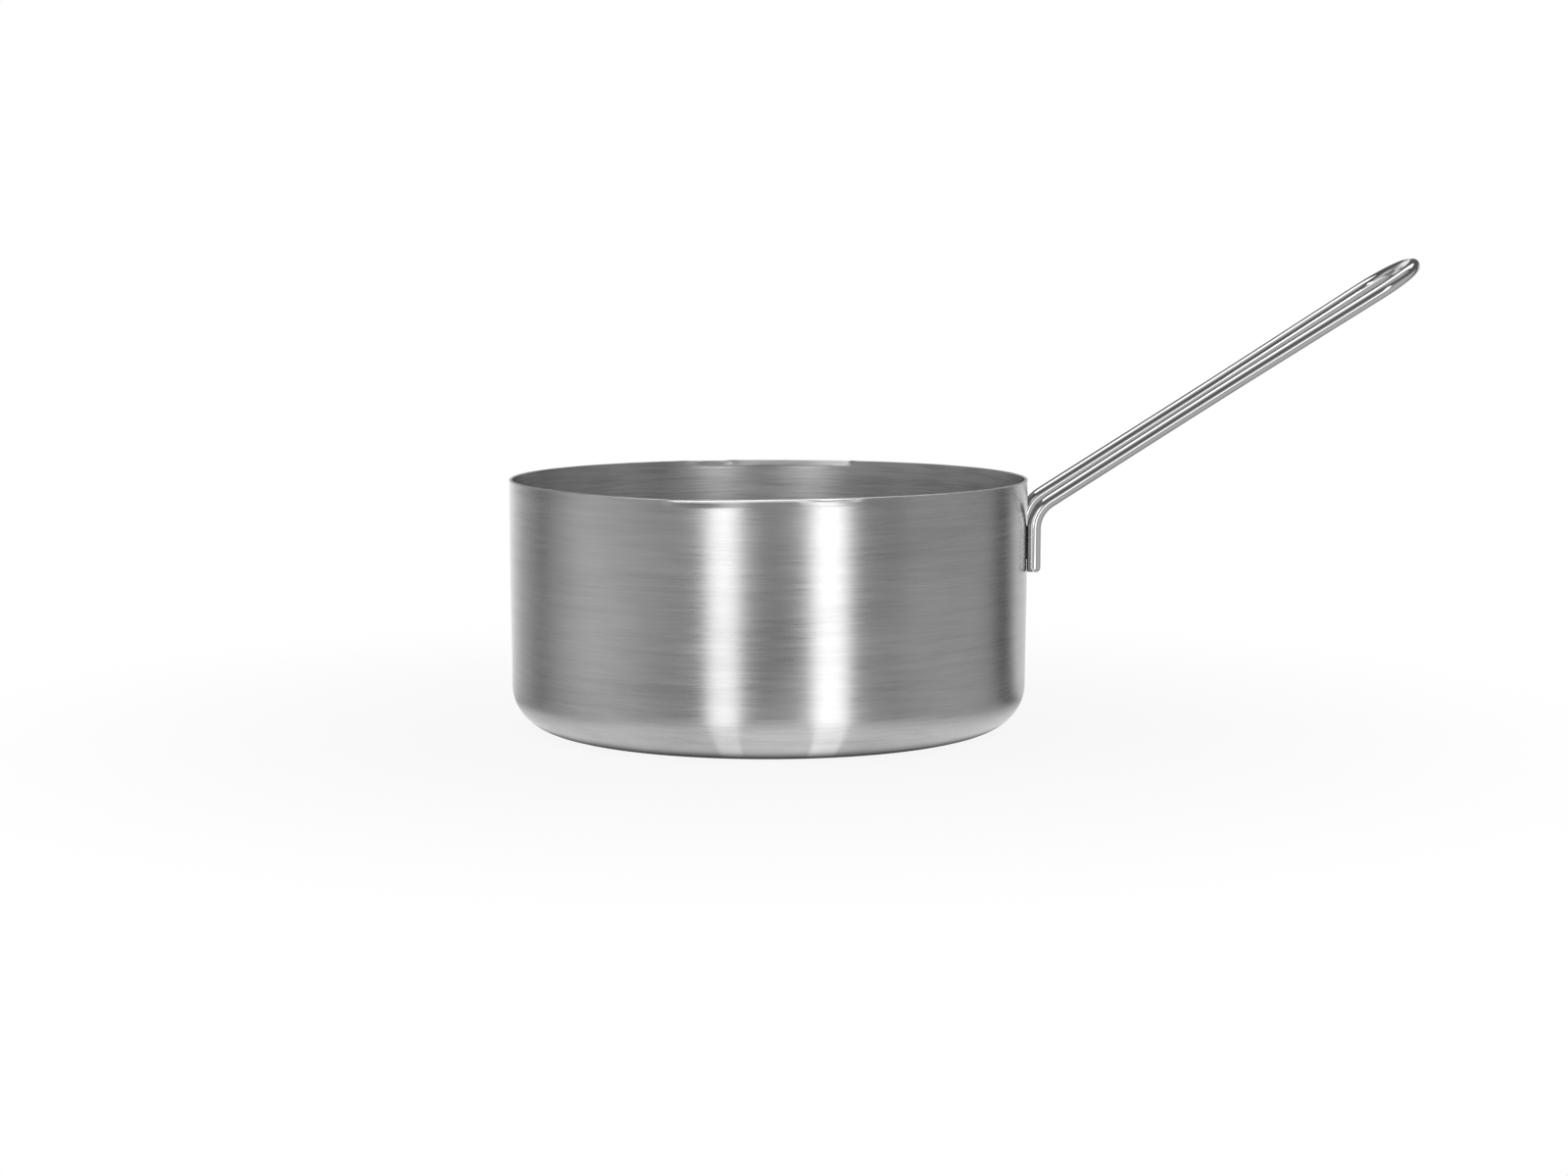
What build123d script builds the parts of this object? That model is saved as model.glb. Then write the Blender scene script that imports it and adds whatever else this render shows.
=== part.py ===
from build123d import *

import math
import os

# A stainless milk pan: a deep-drawn bowl with two pouring lips, and a handle bent from one round wire.
# Lengths are millimetres and angles are degrees. The origin is the middle of the flat base, +Z is up,
# and the handle points along +X, so the two pouring lips stand across it at -Y and +Y.

os.makedirs("parts", exist_ok=True)

# Bowl
bowl_diameter = 140.0  # outside, at the rim
bowl_height = 67.2
sheet_thickness = 0.8
corner_radius = 11.6  # outside of the bottom corner
rim_bevel = 0.2  # on both edges of the ground rim

# Pouring lips: the wall's upper edge is pressed outward at -Y and at +Y, round a smaller circle
lip_reach = 1.0  # how far a lip stands out from the bowl's side, at its middle
lip_circle_radius = 55.0  # of a lip's outer edge, seen from above
lip_flare = 32.0  # how far the edge leans out from upright
lip_bend_radius = 2.2  # outside, where the edge leaves the wall
lip_blend = 0.1  # how far inside the bowl's side the bend starts, which keeps the crease soft
lip_press_depth = 4.0  # of the press tool below the bend

# Handle wire
wire_diameter = 3.7
handle_slope = 32.55  # rise of the handle's run above the horizontal
handle_length = 121.1  # along the run, from the corner of the bend to the end of the loop
bend_height = 59.2  # of the corner between the legs and the run
bend_radius = 9.0
foot_height = 42.7  # of the legs' cut ends
foot_rounding = 1.4  # on the outer side of each cut end
leg_spacing = 23.5
waist_spacing = 21.5
waist_distance = 58.0  # along the run
waist_radius = 420.0
loop_spacing = 27.3  # where the loop is widest
loop_flat = 2.0  # short straight at the very end of the loop

# Welds that hold the two legs to the wall
weld_gap = 0.4  # between the wall and the wire
weld_width = 2.2
weld_length = 9.0
weld_rise = 7.8  # of the middle of a weld above the legs' cut ends

cut_overrun = 5.0

bowl_radius = bowl_diameter / 2
cavity_height = bowl_height + cut_overrun
weld_height = foot_height + weld_rise

# The end of the sheet stays square to its side, so it swings down as a lip is pressed outward
flare_slope = math.tan(math.radians(lip_flare))
swing_start = bowl_radius + lip_blend
lip_edge_height = bowl_height - (lip_reach - lip_blend) * flare_slope
lip_centre = bowl_radius + lip_reach - lip_circle_radius
lip_corner_radius = lip_circle_radius - lip_reach - lip_blend
lip_corner_height = lip_edge_height - (lip_reach + lip_blend) / flare_slope


def cup_outline(inset):
    """Floor, corner and wall of the bowl, or of its cavity a sheet's thickness inside. Gives the wall."""
    side = bowl_radius - inset
    corner = corner_radius - inset
    Line((0, inset), (side - corner, inset))
    TangentArc((side - corner, inset), (side, corner_radius), tangent=(1, 0))
    return Line((side, corner_radius), (side, bowl_height - rim_bevel))


def lip_press(inset, top):
    """The two tools that press the lips outward, or the spaces that they leave inside the sheet."""
    corner = (lip_corner_radius - inset, lip_corner_height + inset * math.tan(math.radians(lip_flare) / 2))
    foot = (corner[0], corner[1] - lip_press_depth)
    rim = (corner[0] + (top - corner[1]) * flare_slope, top)
    with BuildPart() as press:
        with BuildSketch(Plane(origin=(0, -lip_centre, 0), x_dir=(0, -1, 0), z_dir=(-1, 0, 0))):
            with BuildLine():
                FilletPolyline(foot, corner, rim, radius=lip_bend_radius + inset)
                Polyline(rim, (0, rim[1]), (0, foot[1]), foot)
            make_face()
        revolve(axis=Axis((0, -lip_centre, 0), (0, 0, 1)))
        mirror(about=Plane.XZ)
    return press.part


lips_outside = lip_press(0, bowl_height)
lips_inside = lip_press(sheet_thickness, cavity_height)

with BuildPart() as pan_body:
    with BuildSketch(Plane.XZ):
        with BuildLine():
            wall = cup_outline(0)
            Polyline(wall @ 1, (bowl_radius - rim_bevel, bowl_height), (0, bowl_height), (0, 0))
        make_face()
    revolve(axis=Axis.Z)
    add(lips_outside)
    with BuildSketch(Plane.XZ):
        with BuildLine():
            wall = cup_outline(sheet_thickness)
            mouth = bowl_radius - sheet_thickness + rim_bevel
            Polyline(wall @ 1, (mouth, bowl_height), (mouth, cavity_height))
            Polyline((mouth, cavity_height), (0, cavity_height), (0, sheet_thickness))
        make_face()
    revolve(axis=Axis.Z, mode=Mode.SUBTRACT)
    add(lips_inside, mode=Mode.SUBTRACT)
    # What stands above the swung end of the sheet is cut off
    with BuildSketch(Plane.XZ):
        with BuildLine():
            Polyline(
                (swing_start, bowl_height),
                (swing_start + cut_overrun, bowl_height - cut_overrun * flare_slope),
                (swing_start + cut_overrun, cavity_height),
                (swing_start, cavity_height),
                close=True,
            )
        make_face()
    revolve(axis=Axis.Z, mode=Mode.SUBTRACT)
pan_body.part.label = "pan_body"
export_step(pan_body.part, "parts/pan_body.step")

# Path of the wire: a leg up the wall, the bend, the run in to the waist and out to the loop, and back
leg_radius = bowl_radius + weld_gap + wire_diameter / 2
leg_x = math.sqrt(leg_radius**2 - (leg_spacing / 2) ** 2)
slope = math.radians(handle_slope)
run_plane = Plane(
    origin=(leg_x, 0, bend_height),
    x_dir=(math.cos(slope), 0, math.sin(slope)),
    z_dir=(-math.sin(slope), 0, math.cos(slope)),
)

# The loop's two corners are set so that its sides run straight from the waist and touch its round end
loop_radius = (loop_spacing - loop_flat) / 2
side_length = handle_length - loop_radius - waist_distance
side_offset = (loop_flat - waist_spacing) / 2
side_reach = math.hypot(side_length, side_offset)
side_angle = math.atan2(side_offset, side_length) + math.asin(loop_radius / side_reach)
loop_corner = waist_spacing / 2 + (handle_length - waist_distance) * math.tan(side_angle)


def on_run(distance, side):
    """A point of the handle's run: its distance along the slope and its distance from the middle."""
    return run_plane.from_local_coords(Vector(distance, side, 0))


left_half = [
    Vector(leg_x, leg_spacing / 2, foot_height),
    on_run(0, leg_spacing / 2),
    on_run(waist_distance, waist_spacing / 2),
    on_run(handle_length, loop_corner),
]
right_half = [Vector(point.X, -point.Y, point.Z) for point in reversed(left_half)]
left_radii = [bend_radius, waist_radius, loop_radius]
foot_edge = leg_x + wire_diameter / 2

with BuildPart() as handle_loop:
    with BuildLine():
        FilletPolyline(*left_half, *right_half, radius=left_radii + left_radii[::-1])
    with BuildSketch(Plane.XY.offset(foot_height)):
        with Locations((leg_x, leg_spacing / 2)):
            Circle(wire_diameter / 2)
    sweep()
    # The outer corner of each cut end is rounded off
    with BuildSketch(Plane.XZ):
        with Locations((foot_edge, foot_height)):
            Rectangle(2 * foot_rounding, 2 * foot_rounding)
        with Locations((foot_edge - foot_rounding, foot_height + foot_rounding)):
            Circle(foot_rounding, mode=Mode.SUBTRACT)
    extrude(amount=leg_spacing, both=True, mode=Mode.SUBTRACT)
handle_loop.part.label = "handle_loop"
export_step(handle_loop.part, "parts/handle_loop.step")

# Each weld fills the gap between a leg and the wall behind it
leg_angle = math.degrees(math.asin(leg_spacing / 2 / leg_radius))
for side_name, turn in (("left", leg_angle), ("right", -leg_angle)):
    outward = Vector(1, 0, 0).rotate(Axis.Z, turn)
    weld_start = outward * (bowl_radius - sheet_thickness / 2) + Vector(0, 0, weld_height)
    with BuildPart() as handle_weld:
        with BuildSketch(Plane(origin=weld_start, x_dir=(0, 0, 1), z_dir=outward)):
            SlotOverall(weld_length, weld_width)
        extrude(amount=sheet_thickness / 2 + weld_gap + wire_diameter / 2)
        add(pan_body.part, mode=Mode.SUBTRACT)
        add(handle_loop.part, mode=Mode.SUBTRACT)
    handle_weld.part.label = f"{side_name}_handle_weld"
    export_step(handle_weld.part, f"parts/{side_name}_handle_weld.step")
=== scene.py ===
import math

import bpy
import numpy as np
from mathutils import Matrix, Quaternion, Vector


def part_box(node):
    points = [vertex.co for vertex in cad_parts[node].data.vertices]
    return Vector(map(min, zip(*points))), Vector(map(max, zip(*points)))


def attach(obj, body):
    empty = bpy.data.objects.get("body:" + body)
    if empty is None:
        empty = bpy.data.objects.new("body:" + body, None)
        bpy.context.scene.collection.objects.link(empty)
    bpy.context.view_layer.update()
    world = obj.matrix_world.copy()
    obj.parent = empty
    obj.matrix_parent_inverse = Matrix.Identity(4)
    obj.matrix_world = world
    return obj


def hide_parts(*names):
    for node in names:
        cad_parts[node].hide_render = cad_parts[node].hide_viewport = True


# A stainless milk pan on a pale floor. Lengths are metres and angles are degrees, unless a name says
# otherwise. The pan stands on z = 0 with its axis on the Z axis. Its handle points along +X and its
# lips along -Y and +Y.

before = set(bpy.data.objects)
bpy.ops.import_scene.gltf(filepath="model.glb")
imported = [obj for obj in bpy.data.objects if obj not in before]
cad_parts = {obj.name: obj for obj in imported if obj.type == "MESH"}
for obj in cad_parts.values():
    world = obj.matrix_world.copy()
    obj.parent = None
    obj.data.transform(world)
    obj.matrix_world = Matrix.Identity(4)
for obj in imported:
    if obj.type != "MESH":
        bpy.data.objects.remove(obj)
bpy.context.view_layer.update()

MM = 0.001

# Bowl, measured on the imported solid
_, bowl_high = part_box("pan_body")
bowl_radius = bowl_high.x
bowl_height = bowl_high.z
sheet = 0.8 * MM
wall_taper = 0.3 * MM  # radius lost between the legs' cut ends and the bottom corner
corner_radius = 11.6 * MM
rim_rounding = 0.2 * MM
rim_tilt = 8.0  # of the ground end, down towards its outer edge

# Lips: the top of the wall leans out, sharply at one end of a lip and gently at the other
lip_band = 1.65 * MM  # of the leaning sheet above its bend
lip_bend = 0.9 * MM  # length of the bend itself
lip_lean = 31.0
lip_sharp_end = -21.5  # angle round the bowl from the middle of the lip
lip_sharp_blend = 2.4
lip_gentle_start = 8.0
lip_gentle_end = 24.0
curl_angles = (5.5, 11.0, 16.0, 20.5)  # where the edge's curl back upright starts, is full, fades, ends
curl_lean = -8.0  # of the curled edge
curl_start = 0.7 * MM  # along the sheet from the start of the bend
curl_end = 1.15 * MM
lip_shade_tone = 0.62  # of the steel's colour on the outside of a lip's leaning band: painted shade where the band faces down
lip_shade_lead = 1.0  # from where the painted shade starts to the sharp end
lip_shade_fade = 5.5  # from there to where the painted shade is full
lip_shade_start = 0.35  # of the bend, where the painted shade starts
rim_sag = 0.5 * MM  # the near rim is a little low beside the sharp end of its lip
sag_angle = -21.0
sag_width_before = 24.0
sag_width_after = 15.0
sag_start_height = 30.0 * MM

# Rows of the bowl's mesh
bowl_steps = 360  # round the bowl
base_rows = 12
base_margin = 0.3 * MM  # of the flat base beside the corner
corner_rows = 15
wall_rows = 24
wall_margin = 0.4 * MM  # of the wall beside the corner
bend_rows = 8
band_shares = (0.1, 0.2, 0.3, 0.45, 0.7, 0.97)  # of the leaning band, where its rows lie
rounding_rows = 6
curve_steps = 240  # for the sums along the bend

# Handle wire
wire_radius = 1.85 * MM
handle_slope = 32.55
handle_length = 121.1 * MM
bend_height = 59.2 * MM
bend_radius = 9.0 * MM
foot_height = 42.7 * MM
foot_rounding = 1.4 * MM
leg_spacing = 23.5 * MM
waist_spacing = 21.5 * MM
waist_distance = 58.0 * MM
waist_radius = 420.0 * MM
loop_spacing = 27.3 * MM
loop_flat = 2.0 * MM
weld_gap = 0.05 * MM
wire_shift = 0.35 * MM  # towards the wall, against the solid: the run keeps its line and its end
wire_sides = 40
wire_step = 0.9 * MM  # between circles
least_bend_circles = 6
foot_squeeze = 4.5 * MM  # height over which the circles make room for the rounded corner
cap_rings = 5
marks_along = 24.0  # noise cells for a metre along the wire
marks_around = 14.0  # noise cells for a radius across the wire

# Brushed steel
fine_lines = (70.0, 1900.0)  # noise cells per metre, along the rings and across them
broad_lines = (18.0, 420.0)
fine_line_share = 0.65
patch_cells = 28.0  # noise cells per metre
patch_tone = 0.7
patch_roughness = 0.05
line_roughness = 0.12
glancing_power = 5.0
glancing_roughness = 0.35  # share of the roughness that is left where the steel is seen edge on
glancing_bump = 0.2  # and share of the brushing's depth

# Camera: the photograph's view, with the pan turned a degree under it
camera_distance = 0.800
camera_target = Vector((4.18 * MM, 0.0, 37.0 * MM))
camera_pitch = 6.5
pan_turn = 1.0
camera_lens = 67.5  # millimetres, on a sensor 36 millimetres wide
sensor_width = 36.0

# Studio: its brightness by azimuth, from the front at 0 to the left at -90 and the right at 90
studio_stops = [
    (-180, 1.0), (-155, 0.90), (-138, 0.52), (-118, 0.26), (-104, 0.47), (-88, 0.66), (-66, 0.57),
    (-44, 0.45), (-8, 0.40), (-2, 0.27), (6, 0.36), (14, 0.44), (40, 0.37), (54, 0.39), (66, 0.49),
    (100, 0.46), (113, 0.36), (123, 0.10), (130, 0.18), (139, 0.66), (153, 0.75), (180, 1.0),
]
studio_top = (0.14, 0.28)  # Z of the directions between which this gives way to the dark above it
studio_dark = 0.11
ceiling_start = (0.62, 0.78)  # Z of the directions where the ceiling starts, over the front
ceiling_grey = 0.42
front_edge = 0.1  # half the width in Y of the change from back to front

# Painted reflections of the two strips, in the glow that the steel sees in the floor: azimuth, half width
# and brightness
painted_strip_reflections = ((-20.5, 5.5, 1.9), (26.0, 6.5, 2.1))
image_edge = 3.0
image_surround = 0.44

# Floor: an edge here is two distances from the pan's axis, between which the floor's look changes
floor_reach = 6.0
floor_grey = 0.9
floor_roughness = 0.6
floor_glow = 0.90  # share of plain white beside the pan, which grows to 1
glow_edge = (0.08, 0.26)
least_slant = 0.42  # keeps the fan of reflections within bounds behind the pan
painted_image_shade = 0.66  # of the strips' painted reflections beside the base: painted shade
painted_shade_edge = (0.071, 0.100)
painted_pool_grey = 0.93  # of the painted pool of light, a pale oval round the base
painted_pool_edge = (0.066, 0.112)
painted_pool_stretch = (1.1, 0.8, 1.0)
painted_contact_shadow = 0.07  # of the painted contact shadow under the base, as the steel sees it
painted_contact_shadow_edge = (0.0612, 0.0662)

WHITE = (1.0, 1.0, 1.0, 1.0)
BLACK = (0.0, 0.0, 0.0, 1.0)


def smooth(low, high, value):
    """0 below low, 1 above high and an even S between them."""
    t = np.clip((value - low) / (high - low), 0.0, 1.0)
    return t * t * (3.0 - 2.0 * t)


def make_object(name, points, faces, materials=(), face_materials=None):
    mesh = bpy.data.meshes.new(name)
    mesh.from_pydata([tuple(map(float, p)) for p in points], [], faces)
    for material in materials:
        mesh.materials.append(material)
    if face_materials is not None:
        mesh.polygons.foreach_set("material_index", face_materials)
    mesh.polygons.foreach_set("use_smooth", [True] * len(mesh.polygons))
    mesh.update()
    piece = bpy.data.objects.new(name, mesh)
    bpy.context.scene.collection.objects.link(piece)
    return piece


# Node helpers
def new_material(name):
    material = bpy.data.materials.new(name)
    material.use_nodes = True
    tree = material.node_tree
    return material, tree, tree.nodes["Principled BSDF"]


def add_node(tree, kind, settings=None, **inputs):
    """A node with its settings, and with inputs that are values or other nodes' sockets."""
    node = tree.nodes.new(kind)
    for key, value in (settings or {}).items():
        setattr(node, key, value)
    for key, value in inputs.items():
        socket = node.inputs[int(key[1:])] if key[1:].isdigit() else node.inputs[key.replace("_", " ")]
        if isinstance(value, bpy.types.NodeSocket):
            tree.links.new(value, socket)
        else:
            socket.default_value = value
    return node


def math_node(tree, operation, *values):
    inputs = {f"i{n}": value for n, value in enumerate(values)}
    return add_node(tree, "ShaderNodeMath", {"operation": operation}, **inputs).outputs[0]


def length_node(tree, vector):
    node = add_node(tree, "ShaderNodeVectorMath", {"operation": "LENGTH"}, i0=vector)
    return node.outputs["Value"]


def split_node(tree, vector):
    return add_node(tree, "ShaderNodeSeparateXYZ", None, Vector=vector).outputs


def join_node(tree, x, y, z=0.0):
    return add_node(tree, "ShaderNodeCombineXYZ", None, X=x, Y=y, Z=z).outputs[0]


def object_place(tree):
    return add_node(tree, "ShaderNodeTexCoord").outputs["Object"]


def blend_node(tree, amount, low, high):
    """A number from low to high as amount goes from 0 to 1."""
    node = add_node(tree, "ShaderNodeMapRange", {"clamp": True}, i0=amount, i3=low, i4=high)
    return node.outputs[0]


def ease_node(tree, value, start, end):
    """0 before start, 1 after end and an even S between them."""
    settings = {"clamp": True, "interpolation_type": "SMOOTHSTEP"}
    node = add_node(tree, "ShaderNodeMapRange", settings, i0=value, i1=start, i2=end, i3=0.0, i4=1.0)
    return node.outputs[0]


def mixed(tree, amount, low, high, mode="MIX"):
    """A colour from low to high as amount goes from 0 to 1."""
    settings = {"data_type": "RGBA", "blend_type": mode}
    return add_node(tree, "ShaderNodeMix", settings, i0=amount, i6=low, i7=high).outputs[2]


def noise_node(tree, place, scale, detail, roughness):
    inputs = {"Vector": place, "Scale": scale, "Detail": detail, "Roughness": roughness}
    return add_node(tree, "ShaderNodeTexNoise", None, **inputs).outputs["Fac"]


def add_bump(tree, shader, height, depth):
    bump = add_node(tree, "ShaderNodeBump", None, Strength=1.0, Distance=depth, Height=height)
    tree.links.new(bump.outputs[0], shader.inputs["Normal"])


def grey(level):
    return (level, level, level, 1.0)


# Materials
def ring_place(tree, along, across):
    """Where a point lies for brushing round the Z axis: slow along the rings, fast across them."""
    axes = split_node(tree, object_place(tree))
    radius = length_node(tree, join_node(tree, axes["X"], axes["Y"]))
    travel = math_node(tree, "SUBTRACT", axes["Z"], radius)
    return join_node(
        tree,
        math_node(tree, "MULTIPLY", axes["X"], along),
        math_node(tree, "MULTIPLY", axes["Y"], along),
        math_node(tree, "MULTIPLY", travel, across),
    )


def brushed_steel(name, base, contrast, roughness, grain, bump_height):
    """Satin stainless brushed in rings, with soft patches where it was handled."""
    material, tree, shader = new_material(name)
    fine = noise_node(tree, ring_place(tree, *fine_lines), scale=1.0, detail=4.0, roughness=0.7)
    broad = noise_node(tree, ring_place(tree, *broad_lines), scale=1.0, detail=3.0, roughness=0.55)
    patches = noise_node(tree, object_place(tree), scale=patch_cells, detail=3.0, roughness=0.5)
    fine_part = math_node(tree, "MULTIPLY", fine, fine_line_share)
    broad_part = math_node(tree, "MULTIPLY", broad, 1.0 - fine_line_share)
    lines = math_node(tree, "ADD", fine_part, broad_part)

    line_tone = blend_node(tree, lines, low=-0.5, high=1.5)
    tone = math_node(tree, "ADD", line_tone, blend_node(tree, patches, -patch_tone, patch_tone))
    dark, light = base * (1.0 - contrast), min(1.0, base * (1.0 + contrast))
    colour = mixed(tree, tone, grey(dark), grey(light))
    # The outside of each lip's leaning band is painted darker: painted shade under the lip's edge
    lip_shaded = add_node(tree, "ShaderNodeAttribute", {"attribute_name": "lip_painted_shade"}).outputs["Fac"]
    shade = blend_node(tree, lip_shaded, 1.0, lip_shade_tone)
    colour = add_node(tree, "ShaderNodeVectorMath", {"operation": "SCALE"}, i0=colour, Scale=shade)
    tree.links.new(colour.outputs[0], shader.inputs["Base Color"])

    # Steel seen edge on mirrors more clearly
    facing = add_node(tree, "ShaderNodeLayerWeight", None, Blend=0.5).outputs["Facing"]
    glancing = math_node(tree, "POWER", facing, glancing_power)
    patch_part = blend_node(tree, patches, roughness - patch_roughness, roughness + patch_roughness)
    line_part = blend_node(tree, fine, -line_roughness, line_roughness)
    rough = math_node(tree, "ADD", patch_part, line_part)
    rough = math_node(tree, "MULTIPLY", rough, blend_node(tree, glancing, 1.0, glancing_roughness))
    tree.links.new(rough, shader.inputs["Roughness"])
    add_bump(tree, shader, lines, blend_node(tree, glancing, bump_height, glancing_bump * bump_height))

    tangent = add_node(tree, "ShaderNodeTangent", {"direction_type": "RADIAL", "axis": "Z"})
    tree.links.new(tangent.outputs[0], shader.inputs["Tangent"])
    shader.inputs["Metallic"].default_value = 1.0
    shader.inputs["Anisotropic"].default_value = grain
    shader.inputs["Anisotropic Rotation"].default_value = 0.25
    return material


def ground_steel(name):
    """The rim's ground end: brighter than the wall, with fine marks across the sheet."""
    material, tree, shader = new_material(name)
    place = object_place(tree)
    marks = noise_node(tree, place, scale=2400.0, detail=2.0, roughness=0.6)
    tone = noise_node(tree, place, scale=90.0, detail=2.0, roughness=0.5)
    tree.links.new(mixed(tree, tone, grey(0.80), grey(0.95)), shader.inputs["Base Color"])
    tree.links.new(blend_node(tree, marks, low=0.30, high=0.50), shader.inputs["Roughness"])
    add_bump(tree, shader, marks, depth=0.003 * MM)
    shader.inputs["Metallic"].default_value = 1.0
    return material


def polished_wire(name):
    """Bright polished wire with faint lines drawn along it."""
    material, tree, shader = new_material(name)
    place = add_node(tree, "ShaderNodeAttribute", {"attribute_name": "wire_place"}).outputs["Vector"]
    drawn = noise_node(tree, place, scale=1.0, detail=3.0, roughness=0.6)
    patches = noise_node(tree, object_place(tree), scale=60.0, detail=3.0, roughness=0.55)
    tree.links.new(mixed(tree, patches, grey(0.74), grey(0.84)), shader.inputs["Base Color"])
    tree.links.new(blend_node(tree, patches, low=0.06, high=0.09), shader.inputs["Roughness"])
    add_bump(tree, shader, drawn, depth=0.0006 * MM)
    shader.inputs["Metallic"].default_value = 1.0
    return material


def weld_painted_shade(name):
    """A weld bead: rippled steel whose near-black colour is painted shade of the crevice between wire and
    wall.
    """
    material, tree, shader = new_material(name)
    place = object_place(tree)
    tint = noise_node(tree, place, scale=260.0, detail=3.0, roughness=0.6)
    # Near-black colours: painted shade of the crevice
    ramp = add_node(tree, "ShaderNodeValToRGB", None, Fac=tint)
    for element, position, level in zip(ramp.color_ramp.elements, (0.3, 0.7), (0.03, 0.08)):
        element.position = position
        element.color = grey(level)
    tree.links.new(ramp.outputs[0], shader.inputs["Base Color"])
    settings = {"wave_type": "BANDS", "bands_direction": "Z"}
    ripples = add_node(
        tree, "ShaderNodeTexWave", settings, Vector=place, Scale=220.0, Distortion=1.5, Detail=2.0
    )
    tree.links.new(blend_node(tree, tint, low=0.35, high=0.55), shader.inputs["Roughness"])
    add_bump(tree, shader, ripples.outputs["Fac"], depth=0.05 * MM)
    shader.inputs["Metallic"].default_value = 1.0
    return material


# Bowl mesh: the sheet's middle line, leaned out at the lips, with half a sheet on each side
def lip_share(angle):
    """How far a lip leans at an angle round the bowl from its middle: 0 is not at all, 1 is fully."""
    sharp = smooth(lip_sharp_end - lip_sharp_blend / 2, lip_sharp_end + lip_sharp_blend / 2, angle)
    return sharp * (1.0 - smooth(lip_gentle_start, lip_gentle_end, angle))


def curl_share(angle):
    """How far the edge curls back upright at an angle round the bowl from the middle of a lip."""
    start, full, falling, end = curl_angles
    return smooth(start, full, angle) * (1.0 - smooth(falling, end, angle))


def lip_shade_share(angle):
    """How much painted shade darkens the outside of a lip at an angle round the bowl from its middle."""
    return lip_share(angle) * smooth(lip_sharp_end - lip_shade_lead, lip_sharp_end + lip_shade_fade, angle)


def both_lips(share_at, angle):
    """A share that each lip has, at an angle round the bowl from the middle of the near lip."""
    near = (angle + 180.0) % 360.0 - 180.0
    far = angle % 360.0 - 180.0
    return float(share_at(near) + share_at(far))


def base_and_corner(offset):
    """Radii and heights from the middle of the base to the wall, an offset inside the outer face."""
    angles = np.radians(np.linspace(0.0, 90.0, corner_rows))
    corner_start = bowl_radius - wall_taper - corner_radius
    base = np.append(np.linspace(0.0, corner_start, base_rows)[1:-1], corner_start - base_margin)
    radius = corner_radius - offset
    r = np.concatenate((base, corner_start + radius * np.sin(angles)))
    z = np.concatenate((np.full(len(base), offset), corner_radius - radius * np.cos(angles)))
    return r, z


def ground_end(end_drop):
    """The end of the sheet with both its edges rounded: distances across the sheet and past its end."""
    half = sheet / 2
    rounding = np.radians(np.linspace(0.0, 90.0, rounding_rows))
    across = np.concatenate((half - rim_rounding + rim_rounding * np.cos(rounding), [0.0]))
    above = np.concatenate((-rim_rounding + rim_rounding * np.sin(rounding), [0.0]))
    across = np.concatenate((across, -across[-2::-1]))
    above = np.concatenate((above, above[-2::-1])) - end_drop * (across + half) / sheet
    return across, above


def bowl_profile(lean, sag, curl):
    """Radii and heights of the sheet's outline, from the middle of the base outside to the middle
    inside, and the first row of the ground end and the first after it."""
    half = sheet / 2
    lean = math.radians(lean)
    curl_back = (math.radians(curl_lean) - lean) * curl
    end_lean = lean + curl_back

    def tilt_at(travel):
        return lean * smooth(0.0, lip_bend, travel) + curl_back * smooth(curl_start, curl_end, travel)

    # Wall up to the bend
    wall_top = bowl_height - lip_band - lip_bend
    wall_z = np.linspace(corner_radius, wall_top, wall_rows)
    wall_z[0] += wall_margin
    wall_r = bowl_radius - wall_taper - half + wall_taper * smooth(corner_radius, foot_height, wall_z)

    # The bend and the leaning band, along the sheet's middle line
    end_drop = sheet * math.tan(math.radians(rim_tilt) - curl_back)
    band = np.array(band_shares) * (lip_band - rim_rounding - end_drop)
    along = np.concatenate((np.linspace(0.0, lip_bend, bend_rows + 1)[1:], lip_bend + band))
    curve = np.linspace(0.0, lip_bend + lip_band, curve_steps + 1)
    tilt = tilt_at((curve[1:] + curve[:-1]) / 2)
    step = curve[1] - curve[0]
    curve_r = wall_r[-1] + np.concatenate(([0.0], np.cumsum(np.sin(tilt)) * step))
    curve_z = wall_top + np.concatenate(([0.0], np.cumsum(np.cos(tilt)) * step))
    band_r = np.interp(along, curve, curve_r)
    band_z = np.interp(along, curve, curve_z)
    out_r, out_z = half * np.cos(tilt_at(along)), -half * np.sin(tilt_at(along))

    across, above = ground_end(end_drop)
    end_r = curve_r[-1] + above * math.sin(end_lean) + across * math.cos(end_lean)
    end_z = curve_z[-1] + above * math.cos(end_lean) - across * math.sin(end_lean)

    outer_r, outer_z = base_and_corner(0.0)
    inner_r, inner_z = base_and_corner(sheet)
    outside = np.concatenate((outer_r, wall_r + half, band_r + out_r))
    inside = np.concatenate((inner_r, wall_r - half, band_r - out_r))
    r = np.concatenate((outside, end_r, inside[::-1]))
    outside = np.concatenate((outer_z, wall_z, band_z + out_z))
    inside = np.concatenate((inner_z, wall_z, band_z - out_z))
    z = np.concatenate((outside, end_z, inside[::-1]))
    z = z - sag * smooth(sag_start_height, bowl_height, z)
    return r, z, len(outside), len(outside) + len(end_r)


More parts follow.
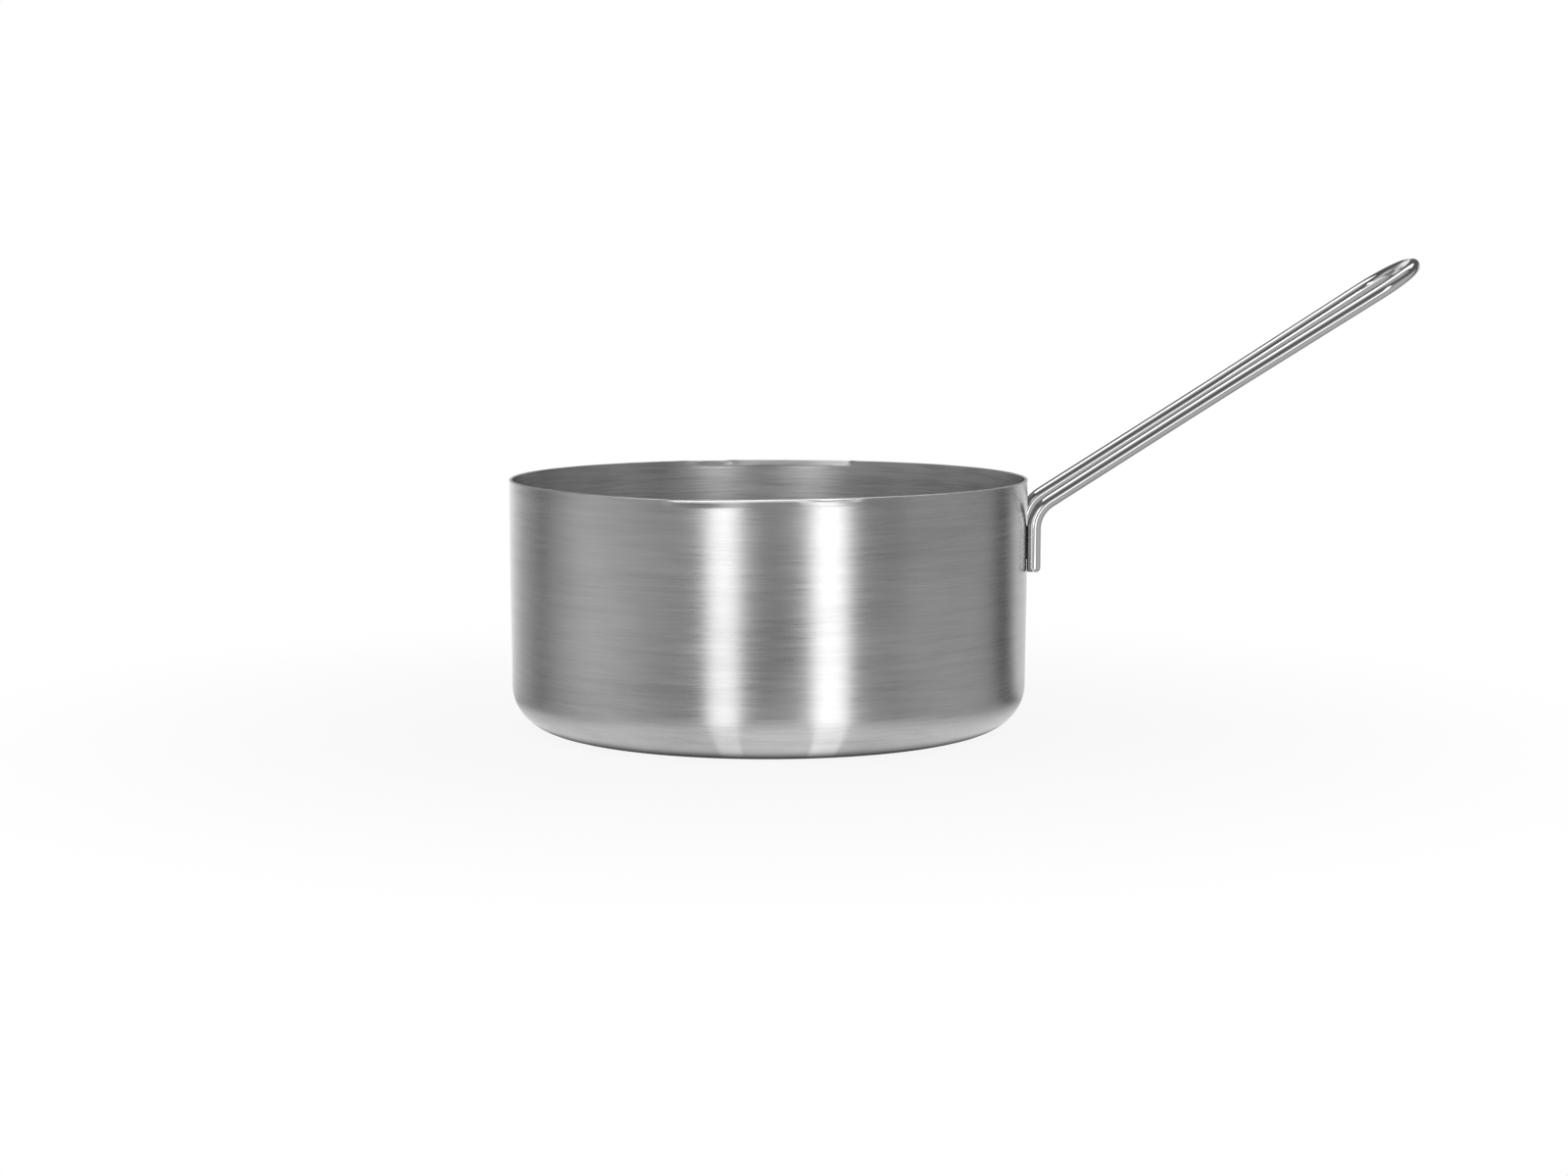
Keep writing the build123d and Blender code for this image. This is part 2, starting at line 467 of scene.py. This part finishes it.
def bowl(wall_material, rim_material, inner_material):
    points = []
    lip_shade_values = []
    for step in range(bowl_steps):
        angle = 360.0 * step / bowl_steps  # from -Y, towards +X
        turn = math.radians(angle)
        from_sag = (angle + 180.0) % 360.0 - 180.0 - sag_angle
        width = sag_width_before if from_sag < 0.0 else sag_width_after
        sag = rim_sag * math.exp(-((from_sag / width) ** 2))
        curl = both_lips(curl_share, angle)
        r, z, rim_start, rim_end = bowl_profile(lip_lean * both_lips(lip_share, angle), sag, curl)
        points.extend(zip(r * math.sin(turn), -r * math.cos(turn), z))

        # Painted shade on the outside of the lip, where its band leans out and faces down, from the bend to
        # the ground end
        lip_shaded = both_lips(lip_shade_share, angle) * (1.0 - curl)
        bend_start = rim_start - bend_rows - len(band_shares)
        for row in range(len(r)):
            into_bend = min(1.0, (row - bend_start + 1) / bend_rows) if row < rim_start else 0.0
            lip_shade_values.append(lip_shaded * float(smooth(lip_shade_start, 1.0, into_bend)))
    rows = len(r)
    outer_middle, inner_middle = len(points), len(points) + 1
    points.extend([(0.0, 0.0, 0.0), (0.0, 0.0, sheet)])
    lip_shade_values.extend([0.0, 0.0])

    faces = []
    face_materials = []  # 0 outside, 1 on the ground end, 2 inside
    for step in range(bowl_steps):
        this, after = step * rows, (step + 1) % bowl_steps * rows
        for row in range(rows - 1):
            faces.append((this + row, after + row, after + row + 1, this + row + 1))
            face_materials.append(0 if row < rim_start else 1 if row < rim_end - 1 else 2)
    for step in range(bowl_steps):
        this, after = step * rows, (step + 1) % bowl_steps * rows
        faces.append((outer_middle, after, this))
        faces.append((inner_middle, this + rows - 1, after + rows - 1))
        face_materials.extend([0, 2])
    materials = (wall_material, rim_material, inner_material)
    piece = make_object("bowl", points, faces, materials, face_materials)
    attribute = piece.data.attributes.new("lip_painted_shade", "FLOAT", "POINT")
    attribute.data.foreach_set("value", np.array(lip_shade_values, np.float32))
    return piece


# Handle mesh: a round wire swept along the same path as the solid's
def straight(start, end, step):
    """Even points from start to end, without the start."""
    count = max(1, math.ceil((end - start).length / step))
    return [start.lerp(end, k / count) for k in range(1, count + 1)]


def round_path(corners, radii, step):
    """Points of a run of straight lines whose corners are rounded, closely and evenly spaced."""
    points = [corners[0]]
    for before, corner, after, radius in zip(corners, corners[1:], corners[2:], radii):
        to_before = (before - corner).normalized()
        to_after = (after - corner).normalized()
        half_turn = (math.pi - to_before.angle(to_after)) / 2
        start = corner + to_before * radius * math.tan(half_turn)
        centre = corner + (to_before + to_after).normalized() * radius / math.cos(half_turn)
        count = max(least_bend_circles, math.ceil(2 * half_turn * radius / step))
        points.extend(straight(points[-1], start, step))
        spoke = start - centre
        travel = to_before * -radius
        for k in range(1, count + 1):
            turn = 2 * half_turn * k / count
            points.append(centre + spoke * math.cos(turn) + travel * math.sin(turn))
    points.extend(straight(points[-1], corners[-1], step))
    return points


def handle_corners():
    """The path's corners, the radii that round them, and the legs' X."""
    leg_x = math.sqrt((bowl_radius + weld_gap + wire_radius) ** 2 - (leg_spacing / 2) ** 2)
    slope = math.radians(handle_slope)
    along = Vector((math.cos(slope), 0.0, math.sin(slope)))
    added_run = wire_shift / math.cos(slope)

    # The loop's sides run straight from the waist and touch its round end
    loop_radius = (loop_spacing - loop_flat) / 2
    side_length = handle_length - loop_radius - waist_distance
    side_offset = (loop_flat - waist_spacing) / 2
    side_reach = math.hypot(side_length, side_offset)
    side_angle = math.atan2(side_offset, side_length) + math.asin(loop_radius / side_reach)
    loop_corner = waist_spacing / 2 + (handle_length - waist_distance) * math.tan(side_angle)

    bend = Vector((leg_x, 0.0, bend_height - wire_shift * math.tan(slope)))
    left = [
        Vector((leg_x, leg_spacing / 2, foot_height)),
        bend + Vector((0.0, leg_spacing / 2, 0.0)),
        bend + along * (waist_distance + added_run) + Vector((0.0, waist_spacing / 2, 0.0)),
        bend + along * (handle_length + added_run) + Vector((0.0, loop_corner, 0.0)),
    ]
    right = [Vector((p.x, -p.y, p.z)) for p in reversed(left)]
    radii = [bend_radius, waist_radius, loop_radius]
    return left + right, radii + radii[::-1], leg_x


def wire_rings(path):
    """For each point of a path: the point, two directions across the wire, and the length so far."""
    rings = []
    side = Vector((1.0, 0.0, 0.0))
    travelled = 0.0
    for k, middle in enumerate(path):
        behind = path[max(k - 1, 0)]
        ahead = path[min(k + 1, len(path) - 1)]
        forward = (ahead - behind).normalized()
        side = (side - forward * side.dot(forward)).normalized()
        travelled += (middle - behind).length
        rings.append((middle, side, forward.cross(side), travelled))
    return rings


def handle(material):
    corners, radii, leg_x = handle_corners()
    rings = wire_rings(round_path(corners, radii, wire_step))
    rounding_start = leg_x + wire_radius - foot_rounding
    points = []
    places = []
    faces = []

    def foot_rise(x):
        """The cut end's outer corner is rounded off."""
        inside = max(0.0, x - rounding_start)
        return foot_rounding - math.sqrt(max(0.0, foot_rounding**2 - inside**2))

    def add_circle(ring, share):
        """A circle of a share of the wire's radius. Gives the number of its first point."""
        middle, side, up, travelled = ring
        for n in range(wire_sides):
            turn = math.tau * n / wire_sides
            cosine, sine = math.cos(turn), math.sin(turn)
            point = middle + (side * cosine + up * sine) * wire_radius * share
            above = (point.z - foot_height) / foot_squeeze
            point.z += foot_rise(point.x) * max(0.0, 1.0 - above)
            points.append(point)
            places.append((travelled * marks_along, cosine * marks_around, sine * marks_around))
        return len(points) - wire_sides

    def add_face(face, flip):
        faces.append(face[::-1] if flip else face)

    def join_circles(first, second, flip=False):
        for n in range(wire_sides):
            m = (n + 1) % wire_sides
            add_face((first + n, first + m, second + m, second + n), flip)

    circles = [add_circle(ring, 1.0) for ring in rings]
    for first, second in zip(circles, circles[1:]):
        join_circles(first, second)

    # Cut ends
    for ring, outer, flip in ((rings[0], circles[0], True), (rings[-1], circles[-1], False)):
        for k in range(1, cap_rings):
            inner = add_circle(ring, 1.0 - k / cap_rings)
            join_circles(outer, inner, flip)
            outer = inner
        middle, _, _, travelled = ring
        points.append(Vector((middle.x, middle.y, foot_height)))
        places.append((travelled * marks_along, 0.0, 0.0))
        for n in range(wire_sides):
            add_face((outer + n, outer + (n + 1) % wire_sides, len(points) - 1), flip)
    piece = make_object("wire_handle", points, faces, (material,))
    attribute = piece.data.attributes.new("wire_place", "FLOAT_VECTOR", "POINT")
    attribute.data.foreach_set("vector", np.array(places, np.float32).ravel())
    return piece


# Pieces
steel = brushed_steel(
    "bowl_brushed_steel", base=0.545, contrast=0.22, roughness=0.30, grain=0.70, bump_height=0.022 * MM
)
# The inside is a lighter copy of the wall's steel: painted light on the same steel inside the bowl
inside_painted_lighter = brushed_steel(
    "bowl_inside_painted_lighter", base=0.74, contrast=0.34, roughness=0.38, grain=0.45, bump_height=0.020 * MM
)
rim_steel = ground_steel("rim_ground_steel")
wire_steel = polished_wire("handle_polished_wire")
bead_painted_shade = weld_painted_shade("weld_bead_painted_shade")

bowl_piece = bowl(steel, rim_steel, inside_painted_lighter)
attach(bowl_piece, "root")
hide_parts("pan_body")

handle_piece = handle(wire_steel)
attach(handle_piece, "root")
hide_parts("handle_loop")

# The welds take the bead's near-black colour, painted shade of the crevice
for node in ("left_handle_weld", "right_handle_weld"):
    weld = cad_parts[node]
    weld.data.materials.clear()
    weld.data.materials.append(bead_painted_shade)


# Camera
def turned(point):
    """A point of the photograph's frame in the pan's own frame."""
    turn = math.radians(-pan_turn)
    x = point.x * math.cos(turn) - point.y * math.sin(turn)
    y = point.x * math.sin(turn) + point.y * math.cos(turn)
    return Vector((x, y, point.z))


def add_camera():
    pitch = math.radians(camera_pitch)
    place = camera_target + Vector((0.0, -math.cos(pitch), math.sin(pitch))) * camera_distance
    data = bpy.data.cameras.new("camera")
    data.lens = camera_lens
    data.sensor_width = sensor_width
    camera = bpy.data.objects.new("camera", data)
    camera.location = turned(place)
    view_direction = turned(camera_target) - camera.location
    camera.rotation_euler = view_direction.to_track_quat("-Z", "Y").to_euler()
    bpy.context.scene.collection.objects.link(camera)
    bpy.context.scene.camera = camera


add_camera()


# Light: two upright strips in front and a soft panel above
def area_lamp(name, azimuth, elevation, distance, width, height, watts, skew=0.0):
    """A lamp at an azimuth from -Y towards +X, facing the pan, and turned about the upright by its skew."""
    data = bpy.data.lights.new(name, "AREA")
    data.shape = "RECTANGLE"
    data.size = width
    data.size_y = height
    data.energy = watts
    lamp = bpy.data.objects.new(name, data)
    a, e = math.radians(azimuth), math.radians(elevation)
    place = Vector((math.sin(a) * math.cos(e), -math.cos(a) * math.cos(e), math.sin(e))) * distance
    lamp.location = turned(place) + Vector((0.0, 0.0, bowl_height / 2))
    facing = (-turned(place)).to_track_quat("-Z", "Y")
    lamp.rotation_euler = (Quaternion((0.0, 0.0, 1.0), math.radians(skew)) @ facing).to_euler()
    bpy.context.scene.collection.objects.link(lamp)


area_lamp("strip_left", -19.0, elevation=9.0, distance=1.5, width=0.31, height=0.58, watts=1.5)
area_lamp("strip_right", 25.5, elevation=9.0, distance=1.5, width=0.36, height=0.58, watts=1.65)
area_lamp("panel_above", 180.0, elevation=77.7, distance=1.22, width=2.2, height=0.64, watts=6.8, skew=25.0)


def with_painted_strip_reflections(stops):
    stops = list(stops)
    for azimuth, half, glow in painted_strip_reflections:
        stops += [(azimuth - half - image_edge, image_surround), (azimuth - half, glow)]
        stops += [(azimuth + half, glow), (azimuth + half + image_edge, image_surround)]
    return sorted(stops)


def studio_grey(tree, direction, stops):
    """The studio's brightness round the pan, by the azimuth of a direction or a place."""
    axes = split_node(tree, direction)
    front = math_node(tree, "MULTIPLY", axes["Y"], -1.0)
    azimuth = math_node(tree, "ARCTAN2", axes["X"], front)
    settings = {"clamp": True}
    ends = {"i1": -math.pi, "i2": math.pi, "i3": 0.0, "i4": 1.0}
    share = add_node(tree, "ShaderNodeMapRange", settings, i0=azimuth, **ends).outputs[0]
    ramp = add_node(tree, "ShaderNodeValToRGB", None, Fac=share)
    elements = ramp.color_ramp.elements
    elements.remove(elements[1])
    elements[0].color = grey(stops[0][1])
    for azimuth, level in stops[1:]:
        elements.new((azimuth + 180.0) / 360.0).color = grey(level)
    return ramp.outputs[0]


# World: white to the camera, and to all else a studio that is white behind the pan and dark above its front
def studio_world():
    world = bpy.data.worlds.new("studio")
    world.use_nodes = True
    bpy.context.scene.world = world
    tree = world.node_tree
    background = tree.nodes["Background"]
    direction = add_node(tree, "ShaderNodeTexCoord").outputs["Generated"]
    axes = split_node(tree, direction)
    front = ease_node(tree, axes["Y"], front_edge, -front_edge)
    around = studio_grey(tree, direction, studio_stops)
    shade = mixed(tree, ease_node(tree, axes["Z"], *studio_top), around, grey(studio_dark))
    high_front = math_node(tree, "MULTIPLY", ease_node(tree, axes["Z"], *ceiling_start), front)
    shade = mixed(tree, high_front, shade, grey(ceiling_grey))
    seen = add_node(tree, "ShaderNodeLightPath").outputs["Is Camera Ray"]
    tree.links.new(mixed(tree, seen, shade, WHITE), background.inputs["Color"])
    background.inputs["Strength"].default_value = 1.0


studio_world()


def fanned_place(tree, place):
    """Where a place lies for the studio's azimuths. The wall at azimuth a mirrors the floor along
    azimuth 2a, on a line that crosses the Y axis half a radius over cos a in front of the pan's axis."""
    axes = split_node(tree, place)
    front = math_node(tree, "MULTIPLY_ADD", axes["Y"], -1.0, -bowl_radius / 2)
    rough_azimuth = math_node(tree, "ARCTAN2", axes["X"], front)
    slant = math_node(tree, "COSINE", math_node(tree, "MULTIPLY", rough_azimuth, 0.5))
    lead = math_node(tree, "DIVIDE", bowl_radius / 2, math_node(tree, "MAXIMUM", slant, least_slant))
    return join_node(tree, axes["X"], math_node(tree, "ADD", axes["Y"], lead))


def painted_floor_reflection(tree, place, away):
    """What the steel sees of the floor, a glow of painted light: the studio's greys with painted
    reflections of the strips, dimmed beside the base as painted shade, a painted pool of light round the
    base, and a painted shadow under it."""
    around = studio_grey(tree, fanned_place(tree, place), with_painted_strip_reflections(studio_stops))
    dimmed = mixed(tree, 1.0, around, grey(painted_image_shade), mode="MULTIPLY")
    around = mixed(tree, ease_node(tree, away, *painted_shade_edge), dimmed, around)
    # A painted pool of light, a pale oval round the base
    oval = add_node(tree, "ShaderNodeVectorMath", {"operation": "MULTIPLY"}, i0=place, i1=painted_pool_stretch)
    oval_away = length_node(tree, oval.outputs[0])
    near = mixed(tree, ease_node(tree, oval_away, *painted_pool_edge), grey(painted_pool_grey), BLACK)
    reflected = mixed(tree, 1.0, near, around, mode="LIGHTEN")
    # Painted contact shadow: the glow goes dark under the base
    return mixed(tree, ease_node(tree, away, *painted_contact_shadow_edge), grey(painted_contact_shadow), reflected)


# Floor: pale with the pan's shadow on it, plain white further out, and in the steel a painted glow as grey
# as the studio
def floor():
    reach = floor_reach
    corners = [(-reach, -reach, 0.0), (reach, -reach, 0.0), (reach, reach, 0.0), (-reach, reach, 0.0)]
    piece = make_object("floor", corners, [(0, 1, 2, 3)])
    material, tree, shader = new_material("floor_white")
    shader.inputs["Base Color"].default_value = grey(floor_grey)
    shader.inputs["Roughness"].default_value = floor_roughness
    place = object_place(tree)
    away = length_node(tree, place)
    glow_share = math_node(
        tree, "MULTIPLY_ADD", ease_node(tree, away, *glow_edge), 1.0 - floor_glow, floor_glow
    )
    light_path = add_node(tree, "ShaderNodeLightPath").outputs
    camera_ray = light_path["Is Camera Ray"]
    seen = math_node(tree, "MAXIMUM", camera_ray, light_path["Is Glossy Ray"])
    seen = math_node(tree, "MAXIMUM", seen, light_path["Is Transmission Ray"])
    glow = mixed(tree, camera_ray, painted_floor_reflection(tree, place, away), WHITE)
    emission = add_node(tree, "ShaderNodeEmission", None, Color=glow, Strength=1.0)
    mix = add_node(
        tree,
        "ShaderNodeMixShader",
        None,
        i0=math_node(tree, "MULTIPLY", glow_share, seen),
        i1=shader.outputs[0],
        i2=emission.outputs[0],
    )
    tree.links.new(mix.outputs[0], tree.nodes["Material Output"].inputs["Surface"])
    piece.data.materials.append(material)


floor()

bpy.context.scene.view_settings.view_transform = "Standard"
